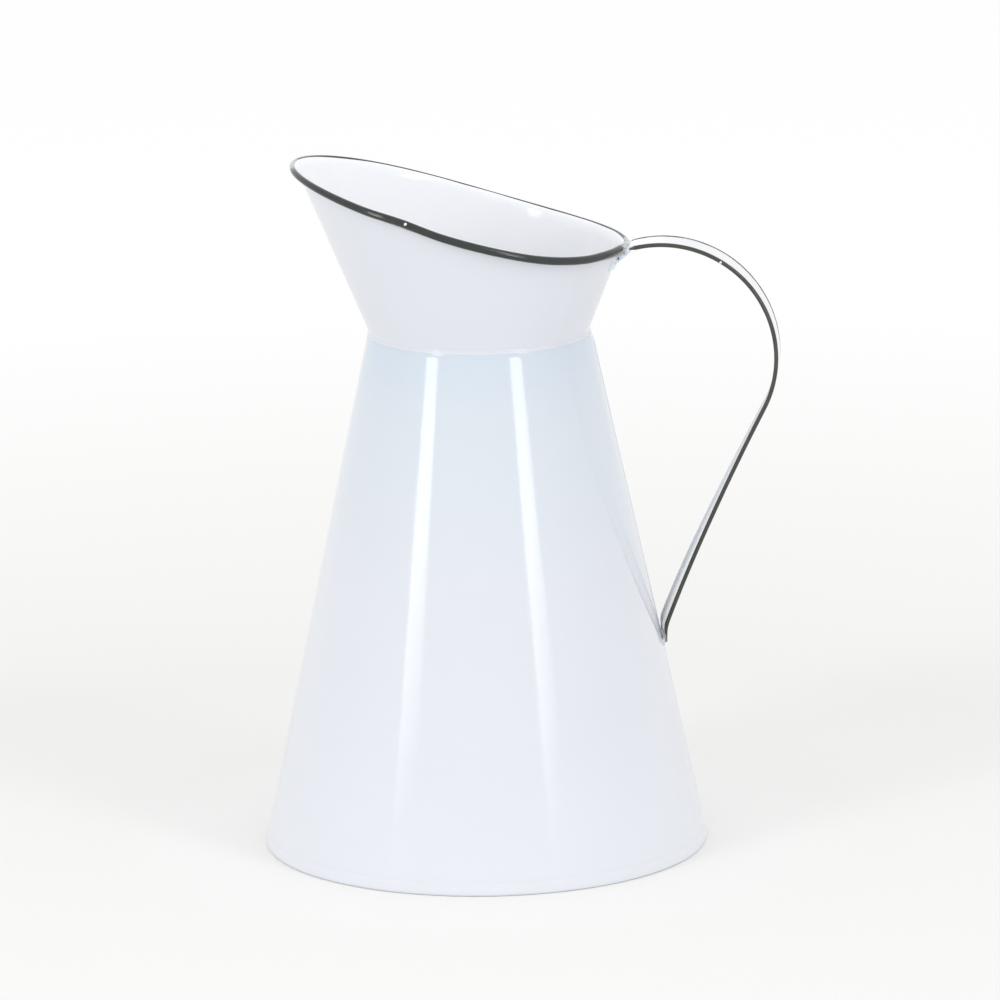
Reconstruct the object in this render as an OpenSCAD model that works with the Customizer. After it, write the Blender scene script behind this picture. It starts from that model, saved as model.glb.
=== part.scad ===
// Sheet-metal milk jug: a conical body on a seamed base, a flared collar cut
// obliquely into a spout, a rolled and wired rim, and a strap handle whose two
// edges are rolled over wires.
// Frame: origin at the centre of the standing plane, +Z up, the spout towards
// -X and the handle towards +X.

/* [Body] */
// Outer diameter at the foot, over the seam
base_d = 176; // [150:1:200]
// Outer diameter of the body at the neck
neck_d = 88; // [80:0.5:100]
// Height of the neck above the standing plane
neck_h = 207; // [195:1:225]
// Thickness of the sheet
sheet_t = 0.8; // [0.6:0.1:1]
// Height of the seam around the foot
foot_seam_h = 5; // [4:0.5:8]
// Height of the bottom disc above the standing plane
base_rise = 4; // [3:0.5:6]

/* [Collar] */
// Height of the rim at the spout
spout_h = 273.7; // [262:0.1:285]
// Height of the rim at the two sides
side_h = 251.7; // [246:0.1:256]
// Height of the rim at the handle
back_h = 240.7; // [238:0.1:244]
// Flare of the collar: radius gained for each unit of height
flare = 0.4; // [0.36:0.01:0.44]
// How far the two sides of the collar are squeezed in at the rim
side_squeeze = 4.8; // [0:0.2:6]
// How far the spout's tip is drawn out
spout_pull = 0.8; // [0:0.1:2]
// Depth of the collar's tail inside the neck
tail_h = 5; // [3:0.5:8]
// Diameter of the rolled rim
rim_d = 3.4; // [3:0.1:4]

/* [Handle] */
// Distance between the centres of the two rolled edges
handle_w = 15.4; // [12:0.2:20]
// Diameter of the rolled edges
edge_d = 1.8; // [1.7:0.1:2.4]
// Radius of the handle's arch
arch_r = 44.9; // [43:0.1:46]
// Distance of the arch's centre from the jug's axis
arch_x = 72.7; // [71.5:0.1:74]
// Height of the arch's centre
arch_h = 198.2; // [197:0.1:200]
// Lean of the leg where it leaves the arch, in degrees from upright
leg_lean = 27.1; // [26:0.1:29]
// Lean of the leg where it reaches the bend above its foot
leg_end_lean = 20.9; // [18:0.1:24]
// Radius of the bend above the handle's foot
foot_bend_r = 14.3; // [8:0.1:20]
// Height of the handle's lower end
foot_end_h = 79.9; // [76:0.1:83]
// Distance from the body to the line of the rolled edges at the lower end
foot_gap = 0.9; // [0.9:0.1:2]
// Turn of the handle's upper end from the line through the spout, in degrees
top_turn = -4.2; // [-8:0.1:8]
// Turn of the handle's lower end from the same line, in degrees
foot_turn = 5.7; // [-8:0.1:8]
// Height below which the handle twists from the one to the other
twist_h = 190; // [160:1:195]

/* [Hidden] */

$fn = 96;
enamel = [0.93, 0.94, 0.97];
dark_enamel = [0.18, 0.2, 0.18];
wire_steel = [0.62, 0.63, 0.64];
weld_enamel = [0.84, 0.87, 0.93];

// A gap between pieces that touch along a round or faceted face
gap = 0.05;

// Body sheet, outer surface: upright inside the foot seam, conical above it
base_r = base_d / 2;
neck_r = neck_d / 2;
taper = (base_r - sheet_t - neck_r) / (neck_h - foot_seam_h);
function body_r(z) = z < foot_seam_h ? base_r - sheet_t : neck_r + taper * (neck_h - z);

// Collar: a round neck ring ruled up to an oval, oblique rim.  The angle a is
// 0 at the handle and 180 at the spout.
collar_r = neck_r - sheet_t;
rim_mean = (spout_h + back_h) / 4 + side_h / 2;
rim_tilt = (back_h - spout_h) / 2;
rim_curl = (spout_h + back_h) / 4 - side_h / 2;
// The wall stands this far inside the rim line, so that the roll touches it
wall_tuck = rim_d / 2 * (sqrt(1 + flare * flare) - 1) + gap;
function rim_z(a) = rim_mean + rim_tilt * cos(a) + rim_curl * cos(2 * a);
function rim_r(a) = collar_r + flare * (rim_z(a) - neck_h) - side_squeeze * pow(sin(a), 2)
                    + spout_pull * pow(sin(a / 2), 12);
function wall_r(z) = collar_r + flare * (z - neck_h);

// Stations around the rim and sides of its swept sections
rim_steps = 120;
roll_sides = 12;
wire_sides = 8;
roll_sheet = 0.6;
rim_wire_r = rim_d / 2 - roll_sheet - gap;

// Side seam: a flattened lap behind the handle's foot
seam_w = 6;
seam_t = 0.4;

// Handle, drawn in the XZ plane and then turned and twisted round the jug's
// axis: points are [x, z] on the centre line of a rolled edge
edge_r = edge_d / 2;
edge_wire_r = edge_r - 0.5;
strap_t = sheet_t;
// The strap lies near the outer side of the rolled edges
strap_lift = edge_r - strap_t / 2 - 0.1;
arch_c = [arch_x, arch_h];
foot_end = [body_r(foot_end_h) + foot_gap, foot_end_h];
function turn_at(z) =
    let (t = min(max((twist_h - z) / (twist_h - foot_end_h), 0), 1))
    top_turn + (foot_turn - top_turn) * t * t * (3 - 2 * t);

// Steps of [point, outward normal, scale] along the handle's line: the arch
// from angle a0 down, then a stretch on which the lean goes from l0 to l1
function arch_path(a0, n) =
    [for (i = [0 : n]) let (a = a0 - (a0 + leg_lean) * i / n, d = [cos(a), sin(a)])
     [arch_c + arch_r * d, d, 1]];
function easing(from, r, l0, l1, n) =
    [for (i = [1 : n]) let (l = l0 + (l1 - l0) * i / n)
     [from + r * [cos(l0) - cos(l), sin(l) - sin(l0)], [cos(l), -sin(l)], 1]];
leg_top = arch_c + arch_r * [cos(leg_lean), -sin(leg_lean)];
foot_shift = foot_bend_r * (1 - cos(leg_end_lean));
leg_r = (leg_top[0] - foot_end[0] - foot_shift) / (cos(leg_end_lean) - cos(leg_lean));
leg_path = easing(leg_top, leg_r, leg_lean, leg_end_lean, 24);
bend_path = easing(leg_path[23][0], foot_bend_r, leg_end_lean, 0, 8);
leg_and_foot = concat(leg_path, bend_path, [[foot_end, [1, 0], 1]]);
function disc(r, sides) = [for (i = [0 : sides - 1]) let (b = 360 * (i + 0.5) / sides)
                           r * [cos(b), sin(b)]];
// Shrinking steps that round off the end of a rolled edge
function round_end(step, way) =
    [for (i = way < 0 ? [3 : -1 : 1] : [1 : 3]) let (b = 28 * i, n = step[1])
     [step[0] + way * edge_r * sin(b) * [n[1], -n[0]], n, cos(b)]];

// Top end: the strap meets the rim roll, passes under it and lies on the collar
roll_c = [rim_r(0) + rim_d / 2, rim_z(0)];
roll_room = rim_d / 2 + strap_t / 2 + 0.15;
strap_arch_r = arch_r + strap_lift;
strap_end_x = roll_c[0] + roll_room;
strap_end_a = acos((strap_end_x - arch_x) / strap_arch_r);
// The rolled edges stop this far outside the strap's end
edge_back = 0.9;
edge_end_a = acos((strap_end_x + edge_back - arch_x) / arch_r);
tab_bend = [strap_end_x, roll_c[1] - roll_room / 2];
tab_h = roll_c[1] - 6.2;
tab_top = [wall_r(tab_h) + strap_t / 2 + gap, tab_h];
tab_len = 3.6;
tab_rise = tab_bend - tab_top;
tab_angle = atan2(tab_rise[1], tab_rise[0]) + 90;
// Steps of the tab on the strap's middle line: [point, angle of the normal]
tab_steps = [[tab_top, tab_angle], [tab_bend, tab_angle + 18], [[strap_end_x, roll_c[1]], 168]];
strap_top = [for (s = tab_steps) let (n = [cos(s[1]), sin(s[1])]) [s[0] - strap_lift * n, n, 1]];
edge_path = concat(arch_path(edge_end_a, 40), leg_and_foot);

// A patch of a conical skin: from z0 to z1, w wide, t thick, on radius r0 to r1
module cone_patch(z0, z1, r0, r1, w, t) {
    intersection() {
        translate([0, 0, z0])
            difference() {
                cylinder(h = z1 - z0, r1 = r0 + t, r2 = r1 + t);
                translate([0, 0, -1])
                    cylinder(h = z1 - z0 + 2, r1 = r0 - (r1 - r0) / (z1 - z0),
                             r2 = r1 + (r1 - r0) / (z1 - z0));
            }
        translate([0, -w / 2, z0 - 1])
            cube([base_d, w, z1 - z0 + 2]);
    }
}

// The triangles that join n rows of m points each, row to row
function skin_faces(n, m, closed) =
    [for (i = [0 : n - (closed ? 1 : 2)]) for (j = [0 : m - 1])
     let (i2 = (i + 1) % n, j2 = (j + 1) % m)
     for (f = [[i * m + j, i * m + j2, i2 * m + j2],
               [i * m + j, i2 * m + j2, i2 * m + j]]) f];

// Rows of [radius, z] points, one row for each step around the axis, joined
// into one closed ring
module ring_solid(rows) {
    n = len(rows);
    points = [for (i = [0 : n - 1]) let (a = 360 * i / n)
              for (p = rows[i]) [p[0] * cos(a), p[0] * sin(a), p[1]]];
    polyhedron(points = points, faces = skin_faces(n, len(rows[0]), true));
}

// A section of [y, lift] points carried along a path of [point, normal, scale]
// steps, at distance y from the handle's middle, and closed at both ends
module swept(path, section, y = 0) {
    n = len(path);
    m = len(section);
    points = [for (s = path) for (q = section)
              let (a = turn_at(s[0][1]), across = y - s[2] * q[0], out = s[0][0] + s[2] * q[1] * s[1][0])
              [out * cos(a) - across * sin(a), out * sin(a) + across * cos(a),
               s[0][1] + s[2] * q[1] * s[1][1]]];
    ends = [[for (j = [m - 1 : -1 : 0]) j], [for (j = [0 : m - 1]) (n - 1) * m + j]];
    polyhedron(points = points, faces = concat(skin_faces(n, m, false), ends));
}

// A round tube of radius r along the rim roll's centre line
module rim_tube(r, sides) {
    ring_solid([for (i = [0 : rim_steps - 1]) let (a = 360 * i / rim_steps)
                [for (j = [0 : sides - 1]) let (b = 360 * (j + 0.5) / sides)
                 [rim_r(a) + rim_d / 2 + r * cos(b), rim_z(a) + r * sin(b)]]]);
}

// Conical body sheet, with the lap of its side seam behind the handle's foot
module body_shell() {
    color(enamel) {
        rotate_extrude()
            polygon([[body_r(0) - sheet_t, sheet_t], [body_r(0), sheet_t],
                     [body_r(0), foot_seam_h], [neck_r, neck_h], [neck_r - sheet_t, neck_h],
                     [body_r(0) - sheet_t, foot_seam_h]]);
        rotate([0, 0, foot_turn])
            cone_patch(foot_seam_h + 1.5, neck_h - 1.5, body_r(foot_seam_h + 1.5) - gap,
                       body_r(neck_h - 1.5) - gap, seam_w, seam_t + gap);
    }
}

// Bottom disc: it is set up inside the body, folded under the body's edge and
// turned up around the outside as the foot seam
module base_pan() {
    in_r = body_r(0) - sheet_t;
    corner_r = sheet_t / 2;
    seam_x = base_r - corner_r;
    color(enamel)
        rotate_extrude()
            polygon(concat(
                [[0, base_rise], [0, base_rise + sheet_t], [in_r, base_rise + sheet_t],
                 [in_r, sheet_t], [in_r + sheet_t, sheet_t]],
                [for (b = [180 : -30 : 0]) [seam_x, foot_seam_h] + corner_r * [cos(b), sin(b)]],
                [for (b = [0 : -30 : -90]) [seam_x, corner_r] + corner_r * [cos(b), sin(b)]],
                [[in_r - sheet_t, 0], [in_r - sheet_t, base_rise]]));
}

// Filling of the corner between the bottom disc and the body
module base_fillet() {
    z0 = base_rise + sheet_t;
    leg = 2.2;
    color(weld_enamel)
        rotate_extrude()
            difference() {
                polygon([[body_r(z0) - sheet_t, z0], [body_r(z0 + leg) - sheet_t, z0 + leg],
                         [body_r(z0) - sheet_t - leg, z0]]);
                translate([body_r(z0) - sheet_t - leg * 1.25, z0 + leg * 1.2])
                    circle(r = leg * 1.08, $fn = 48);
            }
}

// Flared collar with its tail inside the neck
module collar_shell() {
    tail_z = neck_h - tail_h;
    top_up = rim_d * 0.36;
    color(enamel)
        ring_solid([for (i = [0 : rim_steps - 1])
                    let (a = 360 * i / rim_steps, zt = rim_z(a) + top_up,
                         rt = rim_r(a) - wall_tuck + flare * top_up)
                    [[body_r(tail_z) - sheet_t - gap, tail_z], [collar_r - gap, neck_h],
                     [rt, zt], [rt - sheet_t, zt], [collar_r - gap - sheet_t, neck_h],
                     [body_r(tail_z) - 2 * sheet_t - gap, tail_z]]]);
}

// Filling on the body's upper edge, against the collar
module neck_fillet() {
    bead_r = sheet_t * 0.9;
    color(weld_enamel)
        rotate_extrude()
            difference() {
                translate([neck_r - sheet_t * 0.6, neck_h])
                    circle(r = bead_r, $fn = 32);
                polygon([[collar_r - 2, neck_h - 2], [neck_r + 2, neck_h - 2],
                         [neck_r + 2, neck_h], [collar_r, neck_h],
                         [wall_r(neck_h + 2), neck_h + 2], [collar_r - 2, neck_h + 2]]);
            }
}

// Collar edge rolled outwards over the rim wire
module rim_roll() {
    color(dark_enamel)
        difference() {
            rim_tube(rim_d / 2, roll_sides);
            rim_tube(rim_wire_r + gap, wire_sides);
        }
}

// Wire inside the rim roll
module rim_wire() {
    color(wire_steel)
        rim_tube(rim_wire_r, wire_sides);
}

// Handle strap: arch, leg and foot, and at the top a tab laid on the collar
module handle_strap() {
    low = strap_lift - strap_t / 2;
    high = strap_lift + strap_t / 2;
    // Its two edges are hollowed to the rolled edges they grow out of
    edge = [for (i = [0 : 3]) let (h = low + (high - low) * i / 3)
            [handle_w / 2 - sqrt(pow(edge_r + gap, 2) - h * h), h]];
    far_edge = [for (i = [3 : -1 : 0]) [-edge[i][0], edge[i][1]]];
    color(enamel) {
        swept(concat(strap_top, arch_path(strap_end_a, 40), leg_and_foot), concat(edge, far_edge));
        rotate([0, 0, top_turn])
            cone_patch(tab_h - tab_len, tab_h + 0.5, wall_r(tab_h - tab_len) + gap,
                       wall_r(tab_h + 0.5) + gap, handle_w - edge_d, strap_t);
    }
}

// One rolled edge of the handle, hollow for its wire, with rounded ends
module handle_edge(y) {
    color(dark_enamel)
        difference() {
            swept(concat(round_end(edge_path[0], -1), edge_path,
                         round_end(edge_path[len(edge_path) - 1], 1)),
                  disc(edge_r, 12), y);
            swept(edge_path, disc(edge_wire_r + gap, 8), y);
        }
}

module handle_edge_near() {
    handle_edge(-handle_w / 2);
}

module handle_edge_far() {
    handle_edge(handle_w / 2);
}

// The wire inside a rolled edge
module handle_wire(y) {
    color(wire_steel)
        swept(edge_path, disc(edge_wire_r, 8), y);
}

module handle_wire_near() {
    handle_wire(-handle_w / 2);
}

module handle_wire_far() {
    handle_wire(handle_w / 2);
}

// Filling between the rim roll, the collar and the strap's tab
module handle_top_weld() {
    half = asin((handle_w / 2 - 1) / roll_c[0]);
    color(weld_enamel)
        rotate([0, 0, top_turn - half])
            rotate_extrude(angle = 2 * half)
                difference() {
                    polygon([[wall_r(tab_h + 0.6) + 0.1, tab_h + 0.6],
                             tab_bend - [strap_t, -0.2], roll_c,
                             [wall_r(roll_c[1] - 0.6) + 0.2, roll_c[1] - 0.6]]);
                    translate(roll_c)
                        circle(r = rim_d / 2 + gap, $fn = 48);
                }
}

// Filling that joins the lower end of the strap to the body
module handle_foot_weld() {
    strap_in = foot_end[0] + strap_lift - strap_t / 2;
    strap_out = foot_end[0] + strap_lift + strap_t / 2;
    half = asin((handle_w / 2 - edge_r - 0.4) / strap_in);
    // On the body, over its side seam
    function skin(up) = [body_r(foot_end_h + up) + seam_t + gap, foot_end_h + up];
    color(weld_enamel)
        rotate([0, 0, foot_turn - half])
            rotate_extrude(angle = 2 * half)
                polygon([skin(1.6), skin(-2.6), skin(-1.9) + [1, 0],
                         [strap_out - 0.6, foot_end_h - 0.9], [strap_out - 0.1, foot_end_h - gap],
                         [strap_in - gap, foot_end_h - gap], [strap_in - gap, foot_end_h + 0.8]]);
}

body_shell();
base_pan();
base_fillet();
collar_shell();
neck_fillet();
rim_roll();
rim_wire();
handle_strap();
handle_edge_near();
handle_edge_far();
handle_wire_near();
handle_wire_far();
handle_top_weld();
handle_foot_weld();
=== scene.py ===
"""Looks of the sheet-metal milk jug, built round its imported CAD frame.

Everything is in metres in the CAD's frame: origin under the body's axis, +Z
up, the spout towards -X and the handle towards +X.
"""

import math

import bmesh
import bpy
import numpy as np
from mathutils import Matrix, Vector, noise


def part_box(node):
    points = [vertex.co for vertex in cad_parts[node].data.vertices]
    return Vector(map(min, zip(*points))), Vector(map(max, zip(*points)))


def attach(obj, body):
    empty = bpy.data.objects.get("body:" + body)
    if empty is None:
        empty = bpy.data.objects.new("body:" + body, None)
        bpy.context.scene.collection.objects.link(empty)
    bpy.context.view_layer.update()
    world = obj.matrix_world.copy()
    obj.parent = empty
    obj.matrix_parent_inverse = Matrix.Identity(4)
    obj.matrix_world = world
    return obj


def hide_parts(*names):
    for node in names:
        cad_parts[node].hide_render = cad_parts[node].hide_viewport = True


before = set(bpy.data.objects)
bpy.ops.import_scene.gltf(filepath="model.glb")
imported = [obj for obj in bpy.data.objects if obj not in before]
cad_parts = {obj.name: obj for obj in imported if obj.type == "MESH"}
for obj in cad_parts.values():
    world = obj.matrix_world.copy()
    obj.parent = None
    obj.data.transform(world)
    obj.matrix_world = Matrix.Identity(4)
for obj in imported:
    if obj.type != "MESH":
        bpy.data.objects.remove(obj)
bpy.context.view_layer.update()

MM = 0.001
TAU = 2 * math.pi

# ---------------------------------------------------------------- sizes from the frame


def cad_points(node):
    """The vertices of a CAD node, one row each."""
    return np.array([v.co[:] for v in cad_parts[node].data.vertices])


def widest_at(node, z, reach=0.05 * MM):
    """The largest distance from the axis of a node's vertices at height z."""
    p = cad_points(node)
    p = p[abs(p[:, 2] - z) < reach]
    return float(np.hypot(p[:, 0], p[:, 1]).max())


def ring_harmonics(node, steps=120, count=9):
    """The middle of a ring-shaped wire, as the first harmonics of its radius and height."""
    p = cad_points(node)
    turn = np.arctan2(p[:, 1], p[:, 0]) / TAU * steps
    step = np.rint(turn).astype(int) % steps
    r = np.hypot(p[:, 0], p[:, 1])
    line = np.array([(r[step == i].mean(), p[step == i, 2].mean()) for i in range(steps)])
    return np.fft.rfft(line, axis=0)[:count + 1] / steps


SHEET = 0.8 * MM
BASE_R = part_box("base_pan")[1][0]
SEAM_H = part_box("base_pan")[1][2]
BODY_R = BASE_R - SHEET
NECK_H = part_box("body_shell")[1][2]
NECK_R = widest_at("body_shell", NECK_H)
TAPER = (BODY_R - NECK_R) / (NECK_H - SEAM_H + SHEET / 2)
DISC_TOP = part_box("base_fillet")[0][2]
TAIL_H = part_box("collar_shell")[0][2]
COLLAR_R = NECK_R - SHEET
FLARE = 0.4
RIM_WIRE_BORE = 1.0 * MM

rim_series = ring_harmonics("rim_wire")


def even_rim(a):
    """(radius, height) of the rim roll's centre line at angle a round the axis."""
    k = np.arange(len(rim_series))
    wave = np.exp(1j * k * a)
    value = (rim_series * wave[:, None]).real
    return Vector(value[0] + 2 * value[1:].sum(axis=0))


def hump(a, middle, width):
    """A smooth rise to 1 around an angle, both in degrees."""
    off = (math.degrees(a) - middle + 180) % 360 - 180
    return math.exp(-(off / width) ** 2 / 2)


# Waves along the rim: height in millimetres, middle and width in degrees round the axis
RIM_WAVES = ((0.85, -117, 7), (-0.4, -62, 12), (0.7, -28, 7), (1.2, -14, 7))


def rim_centre(a):
    """The rim's centre line with the dents and waves that its making left."""
    lift = sum(height * hump(a, middle, width) for height, middle, width in RIM_WAVES)
    return even_rim(a) + Vector((0, lift * MM))


ROLL_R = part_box("rim_roll")[1][2] - even_rim(math.pi)[1]

TOP_TURN = math.radians(-4.2)
FOOT_TURN = math.radians(5.7)
TWIST_H = 190 * MM
HANDLE_W = 15.4 * MM
# The CAD's rolled edges have twelve sides: this is as far as their flats reach
EDGE_R = 0.9 * MM * math.cos(math.pi / 12)
ARCH_R = 44.9 * MM
ARCH_X = 72.7 * MM
LEG_LEAN = math.radians(27.1)
LEG_END_LEAN = math.radians(20.9)
BEND_R = 14.3 * MM
FOOT_GAP = 0.9 * MM
STRAP_LIFT = 0.4 * MM
edge_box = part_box("handle_edge_near")
ARCH_H = edge_box[1][2] - EDGE_R - ARCH_R
FOOT_H = edge_box[0][2] + EDGE_R


def body_radius(z):
    """Outer radius of the conical body at height z."""
    return NECK_R + TAPER * (NECK_H - z)


def collar_radius(z):
    """Outer radius of the collar at height z, in the plane of the spout."""
    return COLLAR_R + FLARE * (z - NECK_H)


# ---------------------------------------------------------------- mesh helpers


def uneven(p, size, seed):
    """A smooth value between about -1 and 1, with hollows and rises of the given size."""
    return noise.noise(Vector(p) / size + Vector((seed, 2 * seed, 0)))


def smooth_step(value, low, high):
    """An even S from 0 at low to 1 at high."""
    t = min(max((value - low) / (high - low), 0), 1)
    return t * t * (3 - 2 * t)


def quads(n, m, ring, loop):
    """The faces between n rows of m points; ring closes the rows, loop closes each row."""
    rows = range(n if ring else n - 1)
    steps = range(m if loop else m - 1)
    return [(i * m + j, i * m + (j + 1) % m, (i + 1) % n * m + (j + 1) % m, (i + 1) % n * m + j)
            for i in rows for j in steps]


def add_skin(shape, rows, ring=False, loop=True, caps=False):
    """Adds rows of points, joined row to row, to a shape of (points, faces)."""
    points, faces = shape
    start = len(points)
    n, m = len(rows), len(rows[0])
    points.extend(p for row in rows for p in row)
    faces.extend(tuple(start + k for k in f) for f in quads(n, m, ring, loop))
    if caps:
        faces.append(tuple(start + j for j in reversed(range(m))))
        faces.append(tuple(start + (n - 1) * m + j for j in range(m)))


def make_piece(name, shape, material, slot, *nodes, paint=None, sharp=math.radians(50)):
    """A smooth-shaded object that stands for the given CAD nodes."""
    mesh = bpy.data.meshes.new(name)
    mesh.from_pydata([tuple(p) for p in shape[0]], [], shape[1])
    if paint:
        mesh.attributes.new("paint", "FLOAT", "POINT").data.foreach_set("value", paint)
    work = bmesh.new()
    work.from_mesh(mesh)
    bmesh.ops.remove_doubles(work, verts=work.verts, dist=1e-7)
    bmesh.ops.recalc_face_normals(work, faces=work.faces)
    for edge in work.edges:
        edge.smooth = len(edge.link_faces) == 2 and edge.calc_face_angle(0) < sharp
    for face in work.faces:
        face.smooth = True
    work.to_mesh(mesh)
    work.free()
    mesh.materials.append(material)
    piece = bpy.data.objects.new(name, mesh)
    bpy.context.collection.objects.link(piece)
    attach(piece, "root")
    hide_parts(*nodes)
    return piece


def round_axis(a, line):
    """A line of (radius, height) points, stood up at angle a round the axis."""
    return [Vector((r * math.cos(a), r * math.sin(a), z)) for r, z in line]


def angles(count, finer_at=None, reach=0.0, finer=0):
    """Angles round the axis, with closer steps around one of them."""
    even = [TAU * i / count for i in range(count)]
    if finer_at is None:
        return even
    near = [finer_at + reach * (2 * i / finer - 1) for i in range(finer + 1)]
    clear = reach + 0.3 * TAU / count
    far = [a for a in even if abs((a - finer_at + math.pi) % TAU - math.pi) > clear]
    return sorted(a % TAU for a in near + far)


def arc(centre, radius, start, end, steps):
    """Points on an arc, with angles in degrees."""
    turns = [math.radians(start + (end - start) * i / steps) for i in range(steps + 1)]
    return [(centre[0] + radius * math.cos(t), centre[1] + radius * math.sin(t)) for t in turns]


# ---------------------------------------------------------------- materials


def new_material(name):
    material = bpy.data.materials.new(name)
    material.use_nodes = True
    return material, material.node_tree, material.node_tree.nodes["Principled BSDF"]


def add_node(tree, kind, **inputs):
    """A node with some input values or links set by name."""
    node = tree.nodes.new("ShaderNode" + kind)
    for name, value in inputs.items():
        set_input(tree, node, name.replace("_", " "), value)
    return node


def set_input(tree, node, name, value):
    if isinstance(value, bpy.types.NodeSocket):
        tree.links.new(value, node.inputs[name])
    else:
        node.inputs[name].default_value = value


def noise_field(tree, where, scale, detail=3.0, roughness=0.5):
    field = add_node(tree, "TexNoise", Vector=where, Scale=scale, Detail=detail, Roughness=roughness)
    return field.outputs["Fac"]


def ramp(tree, value, *stops):
    """A colour ramp of (place, colour) stops."""
    node = add_node(tree, "ValToRGB", Fac=value)
    marks = node.color_ramp.elements
    while len(marks) < len(stops):
        marks.new(0.5)
    for mark, (place, colour) in zip(marks, stops):
        mark.position = place
        mark.color = (*colour, 1)
    return node.outputs["Color"]


def level(tree, value, low, high, to_low=0.0, to_high=1.0):
    """A value carried from one range to another, and kept inside it."""
    node = add_node(tree, "MapRange", Value=value)
    numbers = {"From Min": low, "From Max": high, "To Min": to_low, "To Max": to_high}
    for name, number in numbers.items():
        node.inputs[name].default_value = number
    return node.outputs["Result"]


def mix_colours(tree, share, first, second):
    node = tree.nodes.new("ShaderNodeMix")
    node.data_type = "RGBA"
    set_input(tree, node, "Factor", share)
    for socket, colour in ((node.inputs[6], first), (node.inputs[7], second)):
        if isinstance(colour, bpy.types.NodeSocket):
            tree.links.new(colour, socket)
        else:
            socket.default_value = (*colour, 1)
    return node.outputs[2]


def calculate(tree, operation, first, second=0.0):
    node = tree.nodes.new("ShaderNodeMath")
    node.operation = operation
    for socket, value in zip(node.inputs, (first, second)):
        if isinstance(value, bpy.types.NodeSocket):
            tree.links.new(value, socket)
        else:
            socket.default_value = value
    return node.outputs[0]


def nearness(tree, where, place, reach):
    """1 at a place on the object, falling to 0 at reach metres from it."""
    node = tree.nodes.new("ShaderNodeVectorMath")
    node.operation = "DISTANCE"
    tree.links.new(where, node.inputs[0])
    node.inputs[1].default_value = place
    return level(tree, node.outputs["Value"], 0, reach, 1, 0)


def bumps(tree, *layers):
    """Stacked bumps of (height, depth in metres)."""
    normal = None
    for height, depth in layers:
        node = add_node(tree, "Bump", Height=height, Distance=depth, Strength=1.0)
        if normal:
            tree.links.new(normal, node.inputs["Normal"])
        normal = node.outputs["Normal"]
    return normal


def object_space(tree):
    return tree.nodes.new("ShaderNodeTexCoord").outputs["Object"]


def facing_out(tree):
    """How far the surface faces away from the jug's axis."""
    geometry = tree.nodes.new("ShaderNodeNewGeometry")
    spoke = tree.nodes.new("ShaderNodeVectorMath")
    spoke.operation = "MULTIPLY"
    spoke.inputs[1].default_value = (1, 1, 0)
    unit = tree.nodes.new("ShaderNodeVectorMath")
    unit.operation = "NORMALIZE"
    turn = tree.nodes.new("ShaderNodeVectorMath")
    turn.operation = "DOT_PRODUCT"
    tree.links.new(geometry.outputs["Position"], spoke.inputs[0])
    tree.links.new(spoke.outputs["Vector"], unit.inputs[0])
    tree.links.new(unit.outputs["Vector"], turn.inputs[0])
    tree.links.new(geometry.outputs["Normal"], turn.inputs[1])
    return turn.outputs["Value"]


def white_enamel(name, brightened_lining, *painted_shades):
    """Glossy white enamel, its colours painted with light and shade: outside, a colour by height from
    (height, colour) pairs; on inward faces, a lighter lining colour.
    """
    material, tree, skin = new_material(name)
    where = object_space(tree)
    height = add_node(tree, "SeparateXYZ", Vector=where).outputs["Z"]
    # Outside, the colour follows height: painted shade and light, its line wavering a little.
    drift = level(tree, noise_field(tree, where, 45), 0.3, 0.7, -5 * MM, 5 * MM)
    low, high = painted_shades[0][0], painted_shades[-1][0]
    climb = level(tree, calculate(tree, "ADD", height, drift), low, high)
    outside = ramp(tree, climb, *(((z - low) / (high - low), colour) for z, colour in painted_shades))
    # Inward faces take the lining colour, painted lighter than the outside.
    inside = level(tree, facing_out(tree), -0.15, 0.15, 1, 0)
    shade = mix_colours(tree, inside, outside, brightened_lining)
    cloud = level(tree, noise_field(tree, where, 24), 0.35, 0.65, 0.03, 0.0)
    shade = mix_colours(tree, cloud, shade, (0.45, 0.50, 0.55))
    speck = level(tree, noise_field(tree, where, 1500, 1.0), 0.77, 0.80)
    speck = calculate(tree, "MULTIPLY", speck, 0.25)
    colour = mix_colours(tree, speck, shade, (0.45, 0.46, 0.46))
    set_input(tree, skin, "Base Color", colour)
    set_input(tree, skin, "Roughness", level(tree, noise_field(tree, where, 90), 0.3, 0.7, 0.06, 0.12))
    skin.inputs["IOR"].default_value = 1.5
    peel = noise_field(tree, where, 700, 2.0)
    sag = noise_field(tree, where, 110, 1.0)
    layers = (sag, 0.03 * MM), (peel, 0.0022 * MM), (speck, 0.01 * MM)
    set_input(tree, skin, "Normal", bumps(tree, *layers))
    return material


def joint_enamel():
    """The thick, slightly blue and lumpy enamel over the joints."""
    material, tree, skin = new_material("joint_enamel")
    where = object_space(tree)
    pools = noise_field(tree, where, 350, 4.0)
    blue, grey, pale = (0.56, 0.63, 0.74), (0.74, 0.78, 0.84), (0.80, 0.83, 0.86)
    set_input(tree, skin, "Base Color", ramp(tree, pools, (0.3, blue), (0.55, grey), (0.75, pale)))
    set_input(tree, skin, "Roughness", level(tree, noise_field(tree, where, 500), 0.3, 0.7, 0.1, 0.25))
    skin.inputs["IOR"].default_value = 1.5
    set_input(tree, skin, "Normal", bumps(tree, (noise_field(tree, where, 600, 3.0), 0.15 * MM)))
    return material


def spot_patches(tree, where, spots, low, high):
    """How much of the surface a patchy mark covers near some (place, reach) spots."""
    share = 0.0
    for place, reach in spots:
        near = nearness(tree, where, place, reach)
        grain = level(tree, noise_field(tree, where, 900, 3.0), 0.3, 0.7, 0.5, 1.5)
        patchy = calculate(tree, "MULTIPLY", near, grain)
        share = calculate(tree, "MAXIMUM", share, level(tree, patchy, low, high))
    return share


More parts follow.
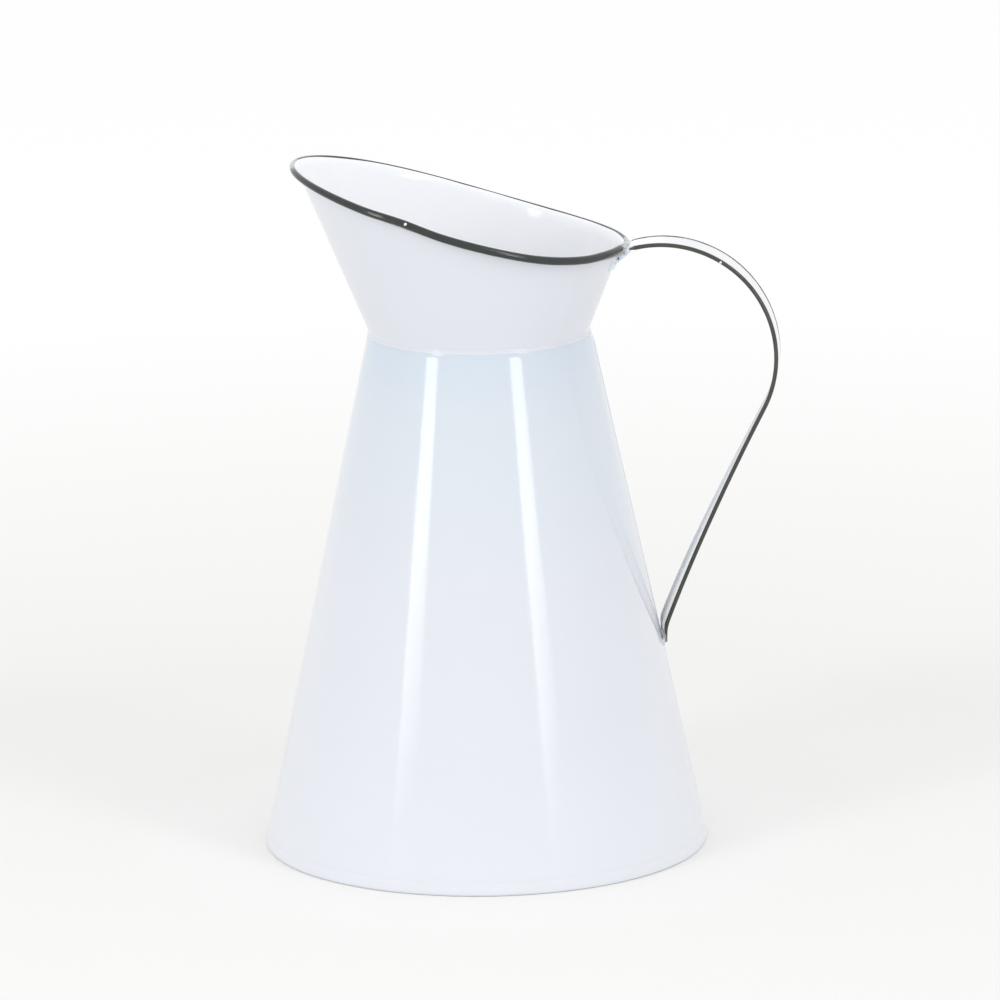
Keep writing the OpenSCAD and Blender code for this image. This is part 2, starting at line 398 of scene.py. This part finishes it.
def dark_enamel(name, dark, light, gloss, ripple, thin_spots=(), chips_and_glints=(), painted=False):
    """Green-black enamel, thin or chipped at some spots, with a painted highlight at some; it may cover
    only the painted part.
    """
    material, tree, skin = new_material(name)
    where = object_space(tree)
    colour = ramp(tree, noise_field(tree, where, 260, 5.0, 0.6), (0.3, dark), (0.7, light))
    scuff = level(tree, noise_field(tree, where, 1300, 4.0, 0.7), 0.74, 0.82)
    scuff = calculate(tree, "MULTIPLY", scuff, 0.2)
    colour = mix_colours(tree, scuff, colour, (0.25, 0.26, 0.25))
    if thin_spots:
        colour = mix_colours(tree, spot_patches(tree, where, thin_spots, 0.35, 0.6), colour, (0.42, 0.45, 0.46))
    # Chips, and a white spot that is a painted highlight, show near-white.
    if chips_and_glints:
        colour = mix_colours(tree, spot_patches(tree, where, chips_and_glints, 0.3, 0.4), colour, (0.78, 0.79, 0.78))
    if painted:
        paint = tree.nodes.new("ShaderNodeAttribute")
        paint.attribute_name = "paint"
        border = level(tree, noise_field(tree, where, 220, 3.0), 0.3, 0.7, -0.12, 0.12)
        edge = calculate(tree, "ADD", paint.outputs["Fac"], border)
        colour = mix_colours(tree, level(tree, edge, -0.06, 0.06, 1, 0), colour, (0.72, 0.73, 0.755))
    set_input(tree, skin, "Base Color", colour)
    dullness = level(tree, noise_field(tree, where, 400, 3.0), 0.3, 0.7, gloss, gloss + 0.06)
    set_input(tree, skin, "Roughness", dullness)
    skin.inputs["IOR"].default_value = 1.62
    waves = noise_field(tree, where, 300, 2.0)
    grit = noise_field(tree, where, 1600, 2.0)
    set_input(tree, skin, "Normal", bumps(tree, (waves, ripple), (grit, 0.006 * MM)))
    return material


def steel_wire():
    """Drawn steel wire with a dull grey skin."""
    material, tree, skin = new_material("steel_wire")
    where = object_space(tree)
    streaks = noise_field(tree, where, 500)
    colour = ramp(tree, streaks, (0.3, (0.32, 0.32, 0.33)), (0.7, (0.48, 0.48, 0.49)))
    set_input(tree, skin, "Base Color", colour)
    skin.inputs["Metallic"].default_value = 1.0
    set_input(tree, skin, "Roughness", level(tree, noise_field(tree, where, 900), 0.3, 0.7, 0.3, 0.5))
    set_input(tree, skin, "Normal", bumps(tree, (noise_field(tree, where, 2000), 0.01 * MM)))
    return material


# ---------------------------------------------------------------- body


def seam_lap(a, z):
    """How far the side seam's lap stands out of the body, below the handle."""
    across = abs(body_radius(z) * math.sin(a - FOOT_TURN))
    if math.cos(a - FOOT_TURN) < 0:
        return 0
    ends = smooth_step(z, SEAM_H + 1 * MM, SEAM_H + 3 * MM)
    ends *= smooth_step(-z, 2 * MM - NECK_H, 4 * MM - NECK_H)
    return 0.4 * MM * ends * smooth_step(-across, -3.4 * MM, -2.4 * MM)


def body_line(a):
    """Section of the body sheet: up its outside, over its top edge and down its inside."""
    foot = SEAM_H - SHEET / 2
    heights = [foot + (NECK_H - 0.3 * MM - foot) * i / 90 for i in range(91)]
    outside = []
    for z in heights:
        r = body_radius(z)
        dent = 0.07 * MM * uneven((math.cos(a) * r, math.sin(a) * r, z), 0.045, 3)
        dent *= smooth_step(z, SEAM_H, SEAM_H + 12 * MM)
        outside.append((r + dent, z, seam_lap(a, z)))
    edge = [(NECK_R - 0.15 * MM, NECK_H - 0.06 * MM), (NECK_R - 0.3 * MM, NECK_H),
            (NECK_R - SHEET, NECK_H)]
    inside = [(r - SHEET, z) for r, z, lap in reversed(outside[:-1:3])]
    hem = [(BODY_R - SHEET, SHEET), (BODY_R, SHEET)]
    return [*hem, *((r + lap, z) for r, z, lap in outside), *edge, *inside]


def add_body(material):
    shape = ([], [])
    turns = angles(300, FOOT_TURN, math.radians(5), 60)
    add_skin(shape, [round_axis(a, body_line(a)) for a in turns], ring=True)
    make_piece("body", shape, material, "white_enamel", "body_shell")


def base_line(a):
    """Section of the bottom: its top face, the fold round the body's edge, its underside."""
    swell = 0.04 * MM * uneven((math.cos(a), math.sin(a), 0), 0.3, 5)
    r = BASE_R - 0.03 * MM + min(swell, 0)
    in_r = BODY_R - SHEET
    fold = 1.0 * MM
    # The enamel hides the fold's upper edge: it runs on in the body's slope
    low, edge = 1.4 * MM, SEAM_H - SHEET / 2
    top_r = body_radius(edge) + 0.01 * MM
    run = [(r + (top_r - r) * k + 0.03 * MM * math.sin(math.pi * k), low + (edge - low) * k)
           for k in (0, 0.2, 0.4, 0.6, 0.8, 1)]
    outside = [*arc((r - fold, fold), fold, -90, 0, 8), *run]
    sunk = DISC_TOP - SHEET
    under = [(in_r - 0.7 * MM, 0.1 * MM), (in_r - 1.1 * MM, 0.6 * MM),
             (in_r - 1.3 * MM, sunk - 0.8 * MM), (in_r - 1.7 * MM, sunk - 0.2 * MM),
             (in_r - 2.6 * MM, sunk)]
    flat = [(in_r * k, sunk) for k in (0.9, 0.7, 0.5, 0.3, 0.1, 0)]
    face = [(in_r * k, DISC_TOP) for k in (0, 0.1, 0.3, 0.5, 0.7, 0.9)]
    pocket = [(in_r, DISC_TOP), (in_r, SHEET), (BODY_R, SHEET), (BODY_R - 0.2 * MM, SEAM_H - 0.6 * MM)]
    return [*face, *pocket, *reversed(outside), (in_r, 0), *under, *flat]


def add_base(material):
    shape = ([], [])
    add_skin(shape, [round_axis(a, base_line(a)) for a in angles(300)], ring=True, loop=False)
    make_piece("bottom", shape, material, "white_enamel", "base_pan")


def bent(t, start, pull, end):
    """The point at share t of a curve that leaves start for end and leans towards pull."""
    return tuple((1 - t) ** 2 * p + 2 * t * (1 - t) * q + t * t * r
                 for p, q, r in zip(start, pull, end))


def add_base_fillet(material):
    """The filling round the inner corner at the bottom."""
    def line(a):
        leg = (2.2 + 0.15 * uneven((math.cos(a), math.sin(a), 0), 0.2, 7)) * MM
        r = BODY_R - SHEET - TAPER * max(DISC_TOP + leg - SEAM_H, 0)
        corner = (BODY_R - SHEET, DISC_TOP)
        top = (r, DISC_TOP + leg)
        end = (corner[0] - leg, DISC_TOP)
        bow = (corner[0] - 0.25 * leg, DISC_TOP + 0.25 * leg)
        return [corner, *(bent(t, top, bow, end) for t in (0, 0.2, 0.4, 0.6, 0.8, 1))]
    shape = ([], [])
    add_skin(shape, [round_axis(a, line(a)) for a in angles(240)], ring=True)
    make_piece("bottom_filling", shape, material, "white_enamel", "base_fillet")


# ---------------------------------------------------------------- collar and rim


def wall_frame(a):
    """Roll centre, neck corner, the wall's direction and the normal to its inside, at angle a."""
    centre = rim_centre(a)
    neck = Vector((COLLAR_R, NECK_H))
    chord = centre - neck
    lean = math.atan2(chord.y, chord.x) + math.asin(roll_radius(a) / chord.length)
    along = Vector((math.cos(lean), math.sin(lean)))
    return centre, neck, along, Vector((-along.y, along.x))


def roll_radius(a):
    """The rim roll is drawn thinner at the spout."""
    return ROLL_R * (1 - 0.25 * hump(a, 180, 30))


def collar_surface(a, z):
    """Outer radius of the collar as it stands at angle a, at height z."""
    _, neck, along, _ = wall_frame(a)
    return neck.x + (z - NECK_H) * along.x / along.y


def lip_angle(a):
    """Where the white lip ends on the rim roll, in radians up from its outer side."""
    wander = 9 * uneven((math.cos(a), math.sin(a), 0), 0.25, 11)
    return math.radians(124 + 27 * hump(a, 145, 25) + wander)


def collar_line(a):
    """Section of the collar: tail, outside, the lip laid over the roll, inside."""
    centre, neck, along, inward = wall_frame(a)
    reach = (centre - neck).dot(along)
    lip = 4.5 * MM
    def wall(s, depth):
        p = neck + along * s + inward * depth
        ripple = 0.06 * MM * uneven((p.x * math.cos(a), p.x * math.sin(a), p.y), 0.03, 13)
        return p + inward * ripple * smooth_step(s, 0, 0.012) * smooth_step(-s, -reach, 0.012 - reach)
    outside = [wall(reach * i / 24, 0) for i in range(25)]
    tip = lip_angle(a)
    radial = Vector((math.cos(tip), math.sin(tip)))
    across = Vector((radial.y, -radial.x))
    hidden = centre + radial * (roll_radius(a) - 0.3 * MM)
    start = neck + along * (reach - lip) + inward * SHEET
    end = centre + radial * (roll_radius(a) + 0.05 * MM)
    # The lip's curve leaves the wall along it and lands flush on the roll
    first, second = start + along * 4.2 * MM, end - across * 0.9 * MM
    curve = []
    for t in (i / 16 for i in range(17)):
        u = 1 - t
        curve.append(start * u ** 3 + first * 3 * t * u ** 2 + second * 3 * t * t * u + end * t ** 3)
    inside = [wall(reach * (1 - i / 24) * (1 - lip / reach), SHEET) for i in range(1, 25)]
    tail_r = body_radius(TAIL_H) - SHEET
    tail = [Vector((tail_r - SHEET, TAIL_H)), Vector((tail_r - 0.05 * MM, TAIL_H))]
    return [*tail, *outside, hidden, *reversed(curve), *inside]


def add_collar(material):
    shape = ([], [])
    add_skin(shape, [round_axis(a, collar_line(a)) for a in angles(360)], ring=True)
    make_piece("collar", shape, material, "white_enamel", "collar_shell")


def add_neck_bead(material):
    """The enamelled bead where the collar stands on the body's edge."""
    def line(a):
        fat = MM * (1 + 0.35 * uneven((math.cos(a), math.sin(a), 0), 0.12, 17))
        out = NECK_R + 0.12 * fat
        hidden = [(COLLAR_R - 0.2 * MM, NECK_H - 0.5 * MM), (NECK_R - 0.2 * MM, NECK_H - 0.9 * MM)]
        belly = [(NECK_R + 0.08 * MM, NECK_H - 0.75 * fat), (out, NECK_H - 0.4 * fat),
                 (out, NECK_H - 0.05 * MM), (out - 0.12 * MM, NECK_H + 0.25 * fat),
                 (out - 0.36 * MM, NECK_H + 0.5 * fat), (out - 0.52 * MM, NECK_H + 0.85 * fat)]
        top = [(COLLAR_R + rise, NECK_H + 1.25 * MM) for rise in (0.48 * MM, 0.1 * MM)]
        return [*hidden, *belly, *top]
    shape = ([], [])
    add_skin(shape, [round_axis(a, line(a)) for a in angles(360)], ring=True)
    make_piece("neck_bead", shape, material, "enamelled_joint", "neck_fillet")


def add_rim(material):
    """The rolled rim, hollow for its wire, a little uneven along its length."""
    def line(a, radius, sides, dents):
        centre = rim_centre(a)
        here = (centre.x * math.cos(a), centre.x * math.sin(a), centre.y)
        size = radius * (1 - dents * (0.5 + 0.5 * uneven(here, 0.012, 19)))
        return [centre + size * Vector((math.cos(TAU * j / sides), math.sin(TAU * j / sides)))
                for j in range(sides)]
    shape = ([], [])
    outer = [round_axis(a, line(a, roll_radius(a), 28, 0.04)) for a in angles(480)]
    bore = [round_axis(a, line(a, RIM_WIRE_BORE, 12, 0))[::-1] for a in angles(240)]
    add_skin(shape, outer, ring=True)
    add_skin(shape, bore, ring=True)
    make_piece("rim", shape, material, "dark_enamel", "rim_roll")


# ---------------------------------------------------------------- handle


def turn_at(z):
    """How far the handle stands turned round the jug's axis at height z: it is slightly twisted."""
    return TOP_TURN + (FOOT_TURN - TOP_TURN) * smooth_step(-z, -TWIST_H, -FOOT_H)


def at_handle(x, y, z, step_z=None):
    """A point of the handle's upright plane, turned like the handle's step at step_z."""
    return Matrix.Rotation(turn_at(z if step_z is None else step_z), 3, "Z") @ Vector((x, y, z))


def easing(start, radius, lean, end_lean, steps):
    """Steps of a line whose lean goes evenly from one angle to another."""
    x = start[0] + radius * math.cos(lean)
    z = start[1] - radius * math.sin(lean)
    leans = [lean + (end_lean - lean) * i / steps for i in range(1, steps + 1)]
    return [(x - radius * math.cos(t), z + radius * math.sin(t), -t) for t in leans]


def on_arch(r, t):
    """The point at angle t and distance r from the arch's centre, in the handle's plane."""
    return Vector((ARCH_X + r * math.cos(t), ARCH_H + r * math.sin(t)))


def handle_line(start):
    """The rolled edges' line from angle start on the arch to the foot: (x, z, normal angle)."""
    turns = [start - (start + LEG_LEAN) * i / 110 for i in range(111)]
    line = [(*on_arch(ARCH_R, t), t) for t in turns]
    foot_x = body_radius(FOOT_H) + FOOT_GAP
    run = line[-1][0] - foot_x - BEND_R * (1 - math.cos(LEG_END_LEAN))
    leg_r = run / (math.cos(LEG_END_LEAN) - math.cos(LEG_LEAN))
    line += easing(line[-1], leg_r, LEG_LEAN, LEG_END_LEAN, 60)
    line += easing(line[-1], BEND_R, LEG_END_LEAN, 0, 24)
    bend_z = line[-1][1]
    line += [(foot_x, bend_z + (FOOT_H - bend_z) * i / 8, 0.0) for i in range(1, 9)]
    return line


rim_at_handle = rim_centre(0)
ROLL_ROOM = ROLL_R + SHEET / 2 + 0.1 * MM
STRAP_ARCH_R = ARCH_R + STRAP_LIFT
STRAP_END = math.acos((rim_at_handle.x + ROLL_ROOM - ARCH_X) / STRAP_ARCH_R)
EDGE_END = math.acos((rim_at_handle.x + ROLL_R + 0.3 * MM - ARCH_X) / ARCH_R)


def strap_tab():
    """The strap's upper end, on its middle line: laid on the collar, then round under the roll."""
    roll = rim_at_handle
    low = roll.y - 7.8 * MM
    high = roll.y - 5.0 * MM
    lie = SHEET / 2 + 0.05 * MM
    clear = roll.x + ROLL_ROOM
    corners = [Vector((collar_radius(low) + lie, low)), Vector((collar_radius(high) + lie, high)),
               Vector((clear, roll.y - ROLL_ROOM / 2)), Vector((clear, roll.y)),
               on_arch(STRAP_ARCH_R, STRAP_END)]
    for _ in range(3):
        cut = [corners[0]]
        for p, q in zip(corners, corners[1:]):
            cut += [p * 0.75 + q * 0.25, p * 0.25 + q * 0.75]
        corners = [*cut, corners[-1]]
    return corners


def strap_path():
    """Steps of the strap's middle line from tab to foot: (x, z, normal angle)."""
    tab = strap_tab()
    path = []
    for p, q in zip(tab, tab[1:]):
        run = q - p
        path.append((p.x, p.y, math.atan2(run.y, run.x) + math.pi / 2))
    for x, z, t in handle_line(STRAP_END)[1:]:
        path.append((x + STRAP_LIFT * math.cos(t), z + STRAP_LIFT * math.sin(t), t))
    return path


def add_strap(material):
    """The strap, its outer face slightly crowned, its long edges let into the rolls."""
    steps = [2 * i / 14 - 1 for i in range(15)]
    # Its far edge is let deeper into the roll
    section = [(v, SHEET / 2 + 0.14 * MM * (1 - v * v) - 0.4 * MM * smooth_step(v, 0.7, 0.95))
               for v in steps]
    section += [(v, -SHEET / 2 + 0.10 * MM * (1 - v * v)) for v in reversed(steps)]
    end_x = rim_at_handle.x + ROLL_ROOM
    rows = []
    for k, (x, z, t) in enumerate(strap_path()):
        half = (HANDLE_W / 2 - 0.55 * EDGE_R) * (1 - 0.13 * smooth_step(-k, -10, 0))
        ripple = 0.05 * MM * uneven((x, 0, z), 0.018, 23)
        # Bent round the rim where it meets it
        wrap = (1 - smooth_step(x, end_x, end_x + 6 * MM)) * half ** 2 / (2 * end_x)
        rows.append([at_handle(x + (lift + ripple) * math.cos(t) - wrap * v * v, v * half,
                               z + (lift + ripple) * math.sin(t), z) for v, lift in section])
    shape = ([], [])
    add_skin(shape, rows, caps=True)
    make_piece("handle_strap", shape, material, "white_enamel", "handle_strap")


def tube_rows(path, side, radii, sides):
    """Rings of a round tube along a handle path, at a distance to one side of its middle."""
    rows = []
    for (x, z, t), radius in zip(path, radii):
        row = []
        for j in range(sides):
            b = TAU * j / sides
            lift = radius * math.sin(b)
            across = side + radius * math.cos(b)
            row.append(at_handle(x + lift * math.cos(t), across, z + lift * math.sin(t), z))
        rows.append(row)
    return rows


def add_edge(name, side, material, node, tip, middle, reach):
    """One rolled edge, thinner at its tips; its paint reaches so far round a middle, in degrees."""
    path = handle_line(EDGE_END)
    lengths = np.cumsum([0, *(math.dist(p[:2], q[:2]) for p, q in zip(path, path[1:]))])
    radii = []
    for (x, z, t), run in zip(path, lengths):
        start = tip + (1 - tip) * smooth_step(run, 0, 2.5 * MM)
        left = lengths[-1] - run
        end = 0.35 + 0.65 * smooth_step(left, 0, 8 * MM) if left > 0.3 * MM else 0.2
        size = EDGE_R * (1 - 0.07 * (0.5 + 0.5 * uneven((x, side, z), 0.011, 29)))
        radii.append(size * start * end)
    # The thinned end keeps to the strap's outer side
    for i, ((x, z, t), r, run) in enumerate(zip(path, radii, lengths)):
        if run > lengths[-1] - 9 * MM:
            slip = (EDGE_R - r) * 0.5
            path[i] = (x + slip * math.cos(t), z + slip * math.sin(t), t)
    shape = ([], [])
    add_skin(shape, tube_rows(path, side, radii, 20), caps=True)
    paint = []
    for run in lengths:
        # All round at the start, where the enamel was put on thick
        spread = math.cos(math.radians(reach + 90 * smooth_step(-run, -6 * MM, -2 * MM)))
        paint += [math.cos(TAU * j / 20 - math.radians(middle)) - spread for j in range(20)]
    make_piece(name, shape, material, "dark_enamel", node, paint=paint)


def blob(name, balls, material, nodes, voxel=0.25 * MM):
    """A smooth lump of enamel over a row of (centre, radii) balls."""
    work = bmesh.new()
    for centre, radii in balls:
        scale = Matrix.Diagonal((*radii, 1))
        turn = Matrix.Rotation(turn_at(centre.z), 4, "Z")
        bmesh.ops.create_icosphere(work, subdivisions=3, radius=1,
                                   matrix=Matrix.Translation(centre) @ turn @ scale)
    mesh = bpy.data.meshes.new(name)
    work.to_mesh(mesh)
    work.free()
    piece = bpy.data.objects.new(name, mesh)
    bpy.context.collection.objects.link(piece)
    remesh = piece.modifiers.new("join", "REMESH")
    remesh.mode = "VOXEL"
    remesh.voxel_size = voxel
    remesh.use_smooth_shade = True
    soften = piece.modifiers.new("soften", "SMOOTH")
    soften.factor = 0.5
    soften.iterations = 6
    done = piece.evaluated_get(bpy.context.evaluated_depsgraph_get())
    result = bpy.data.meshes.new_from_object(done)
    piece.modifiers.clear()
    piece.data = result
    result.name = name
    result.materials.clear()
    result.materials.append(material)
    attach(piece, "root")
    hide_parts(*nodes)
    return piece


def ball(x, y, z, rx, ry, rz):
    return at_handle(x, y, z), (rx * MM, ry * MM, rz * MM)


def sagged(x, y):
    """A distance from the axis, brought in to keep its radius at y to the side."""
    return math.sqrt(x * x - y * y)


def add_top_weld(material):
    """Enamel run into the corner between roll, collar and strap, and over the strap's end."""
    roll = rim_at_handle
    half = HANDLE_W / 2
    balls = []
    for i in range(61):
        v = -1 + i / 30
        fat = 1 + 0.12 * uneven((v, 0, 0), 0.35, 31)
        y = v * (half + 0.6 * MM)
        here = roll.x - 0.7 * MM
        balls.append(ball(sagged(here, y), y, roll.y - 2.2 * MM, 1.2 * fat, 0.8, 1.3 * fat))
        here = collar_surface(TOP_TURN + y / roll.x, roll.y - 4 * MM) + 0.7 * MM
        balls.append(ball(sagged(here, y), y, roll.y - 4 * MM, 0.85, 0.8, 1.4))
        y = v * (half - 0.5 * MM)
        here = roll.x + 1.5 * MM
        balls.append(ball(sagged(here, y), y, roll.y + 0.5 * MM, 0.85 * fat, 0.7, 0.75 * fat))
    for side in (-1, 1):
        y = side * (half + 0.1 * MM)
        balls.append(ball(sagged(roll.x + 1.3 * MM, y), y, roll.y - 0.3 * MM, 1.2, 1.0, 1.3))
        for i in range(16):
            z = roll.y - (2.4 + i * 0.33) * MM
            slim = 1 - 0.6 * i / 15
            for out in (-1.2, -0.6, 0, 0.6, 1.2):
                side_y = y + side * out * MM
                here = collar_surface(TOP_TURN + side_y / collar_radius(z), z)
                x = sagged(here + (0.25 - 0.25 * out) * MM, side_y)
                balls.append(ball(x, side_y, z, 0.75 * slim, 0.8, 0.7))
    blob("handle_top_joint", balls, material, ("handle_top_weld",), 0.2 * MM)


def add_foot_weld(material):
    """Enamel run between the strap's lower end and the body."""
    half = HANDLE_W / 2
    r = body_radius(FOOT_H)
    balls = []
    for i in range(61):
        v = -1 + i / 30
        y = v * (half - 0.5 * MM)
        fat = 1 + 0.12 * uneven((v, 3, 0), 0.35, 37)
        balls.append(ball(sagged(r + 0.35 * MM, y), y, FOOT_H - 0.2 * MM, 0.9, 0.7, 1.5 * fat))
        balls.append(ball(sagged(r + 0.9 * MM, y), y, FOOT_H + 0.7 * MM, 0.9, 0.7, 1.1 * fat))
    blob("handle_foot_joint", balls, material, ("handle_foot_weld",), 0.2 * MM)


# ---------------------------------------------------------------- floor, light and camera


def add_floor():
    """A pale studio floor, very slightly cloudy, its colour painted with light and shade round the jug.
    """
    mesh = bpy.data.meshes.new("floor")
    mesh.from_pydata([(-8, -8, 0), (8, -8, 0), (8, 8, 0), (-8, 8, 0)], [], [(0, 1, 2, 3)])
    material, tree, skin = new_material("floor")
    where = object_space(tree)
    # Painted light and shade: lightest far off, darkest a little way round the jug where the lamps
    # light the floor most, and lighter again close to the jug, where its shadow falls.
    near = nearness(tree, where, (0, 0, 0), 1.1)
    pale = ramp(tree, near, (0.0, (0.975, 0.98, 0.977)), (0.45, (0.89, 0.89, 0.88)),
                (0.74, (0.83, 0.83, 0.82)), (0.86, (0.85, 0.85, 0.837)), (0.92, (0.888, 0.888, 0.873)))
    cloud = level(tree, noise_field(tree, where, 0.6, 2.0), 0.3, 0.7, 0.0, 0.012)
    set_input(tree, skin, "Base Color", mix_colours(tree, cloud, pale, (0.7, 0.7, 0.7)))
    skin.inputs["Roughness"].default_value = 0.9
    skin.inputs["Specular IOR Level"].default_value = 0.1
    mesh.materials.append(material)
    floor = bpy.data.objects.new("floor", mesh)
    bpy.context.collection.objects.link(floor)


def add_world():
    world = bpy.data.worlds.new("studio")
    world.use_nodes = True
    sky = world.node_tree.nodes["Background"]
    sky.inputs["Color"].default_value = (1, 1, 1, 1)
    sky.inputs["Strength"].default_value = 1.0
    bpy.context.scene.world = world


def fade_down(light, low, high):
    """Dims a light towards its lower edge, between two shares of its height."""
    light.use_nodes = True
    tree = light.node_tree
    where = tree.nodes.new("ShaderNodeNewGeometry").outputs["Parametric"]
    share = add_node(tree, "SeparateXYZ", Vector=where).outputs["Y"]
    set_input(tree, tree.nodes["Emission"], "Strength", level(tree, share, low, high))


def aimed(direction, roll):
    """The turn of a light or camera that looks in a direction, rolled about it."""
    return direction.to_track_quat("-Z", "Y").to_matrix() @ Matrix.Rotation(roll, 3, "Z")


def add_softbox(name, azimuth, elevation, distance, width, height, lean, power, fade=None):
    """A rectangular light, placed from the front of the jug, leaning by some degrees."""
    data = bpy.data.lights.new(name, "AREA")
    data.shape = "RECTANGLE"
    data.size = width
    data.size_y = height
    data.energy = power
    if fade:
        fade_down(data, *fade)
    a, e = math.radians(azimuth), math.radians(elevation)
    away = Vector((math.sin(a) * math.cos(e), -math.cos(a) * math.cos(e), math.sin(e)))
    place = Vector((0, 0, 0.12)) + distance * away
    turn = aimed(-away, math.radians(lean))
    light = bpy.data.objects.new(name, data)
    light.matrix_world = Matrix.Translation(place) @ turn.to_4x4()
    light.visible_camera = False
    bpy.context.collection.objects.link(light)


def add_lights():
    add_softbox("strip_left", -46, 11, 1.3, 0.26, 0.41, 18, 1.88, (0.03, 0.45))
    add_softbox("strip_right", 38, 11, 1.3, 0.24, 0.41, 18, 1.6, (0.06, 0.5))
    add_softbox("top_left", -45, 38, 1.5, 0.25, 0.55, 0, 1.5)
    add_softbox("top_right", 50, 42, 1.5, 0.27, 0.50, 0, 1.5)


def add_camera():
    """A long lens from the front, a little above the rim."""
    azimuth = math.radians(1)
    distance, height = 3.0896, 0.8492
    place = Vector((distance * math.sin(azimuth), -distance * math.cos(azimuth), height))
    aim = Matrix.Rotation(azimuth, 3, "Z") @ Vector((0.0073, 0, 0.1383))
    turn = aimed(aim - place, math.radians(-0.79))
    data = bpy.data.cameras.new("camera")
    data.sensor_width = 36
    data.lens = 288
    data.clip_end = 50
    camera = bpy.data.objects.new("camera", data)
    camera.matrix_world = Matrix.Translation(place) @ turn.to_4x4()
    bpy.context.collection.objects.link(camera)
    bpy.context.scene.camera = camera


# ---------------------------------------------------------------- the whole


def near_edge_point(degrees, lift):
    """A point on the near side of the near rolled edge, by its angle on the arch."""
    x, z = on_arch(ARCH_R + lift * EDGE_R, math.radians(degrees))
    return at_handle(x, -HANDLE_W / 2 - 0.95 * EDGE_R, z)


def rim_front(degrees):
    """A point on the rim roll's outer side at an angle round the axis."""
    a = math.radians(degrees)
    return round_axis(a, [rim_centre(a) + Vector((0.9, 0.4)) * ROLL_R])[0]


def white_enamels():
    """The white of the body, of the collar and of the strap, with painted light and shade."""
    # Painted light: the insides of body and collar, which lie in shade, are painted lighter than the
    # outside.
    brightened_lining = (0.885, 0.90, 0.93)
    # Painted shade: the body grows darker and bluer up towards the collar above it, and lighter down
    # towards the floor.
    body = white_enamel("body_enamel", brightened_lining,
                        (0.004, (0.734, 0.753, 0.804)),
                        (0.050, (0.703, 0.722, 0.775)),
                        (0.107, (0.684, 0.702, 0.754)),
                        (0.147, (0.650, 0.689, 0.748)),
                        (0.180, (0.627, 0.676, 0.731)),
                        (NECK_H, (0.586, 0.655, 0.738)))
    outside = (0.677, 0.696, 0.746)
    collar = white_enamel("collar_enamel", brightened_lining, (NECK_H, outside), (0.27, outside))
    # Painted light: the strap is lighter towards its top, and its inner face, which lies in shade,
    # lighter still.
    strap = white_enamel("strap_enamel", (0.95, 0.955, 0.96),
                         (0.1, (0.76, 0.77, 0.79)), (0.24, (0.80, 0.81, 0.83)))
    return body, collar, strap


def dark_enamels():
    """The dark of the rim and of the handle's near and far edges."""
    handle_end = [at_handle(rim_at_handle.x + ROLL_R, y, rim_at_handle.y)
                  for y in (-9 * MM, 0, 9 * MM)]
    tip = Vector(round_axis(math.pi, [rim_centre(math.pi)])[0])
    thin_spots = [*((place, 8 * MM) for place in handle_end), (tip, 18 * MM)]
    # The white spot at -115 degrees round the rim is a painted highlight drawn as a chip, where the top
    # left lamp's highlight falls.
    rim = dark_enamel("rim_enamel", (0.004, 0.009, 0.006), (0.010, 0.018, 0.014), 0.03, 0.025 * MM,
                      thin_spots=thin_spots, chips_and_glints=[(rim_front(-115), 0.9 * MM)])
    edge = (0.022, 0.024, 0.016), (0.040, 0.042, 0.030), 0.06, 0.05 * MM
    chip = near_edge_point(58.5, -0.2), 0.8 * MM
    near = dark_enamel("near_edge_enamel", *edge, chips_and_glints=[chip], painted=True)
    far = dark_enamel("far_edge_enamel", *edge, painted=True)
    return rim, near, far


def build_jug():
    body, collar, strap = white_enamels()
    rim, near, far = dark_enamels()
    joint = joint_enamel()
    add_body(body)
    add_base(body)
    add_base_fillet(body)
    add_collar(collar)
    add_neck_bead(collar)
    add_rim(rim)
    add_strap(strap)
    add_edge("handle_edge_near", -HANDLE_W / 2, near, "handle_edge_near", 0.4, 180, 92)
    add_edge("handle_edge_far", HANDLE_W / 2, far, "handle_edge_far", 0.9, 35, 100)
    add_top_weld(joint)
    add_foot_weld(joint)
    wire = steel_wire()
    for name in ("rim_wire", "handle_wire_near", "handle_wire_far"):
        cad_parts[name].data.materials.clear()
        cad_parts[name].data.materials.append(wire)


build_jug()
add_floor()
add_world()
add_lights()
add_camera()
bpy.context.scene.view_settings.view_transform = "Standard"
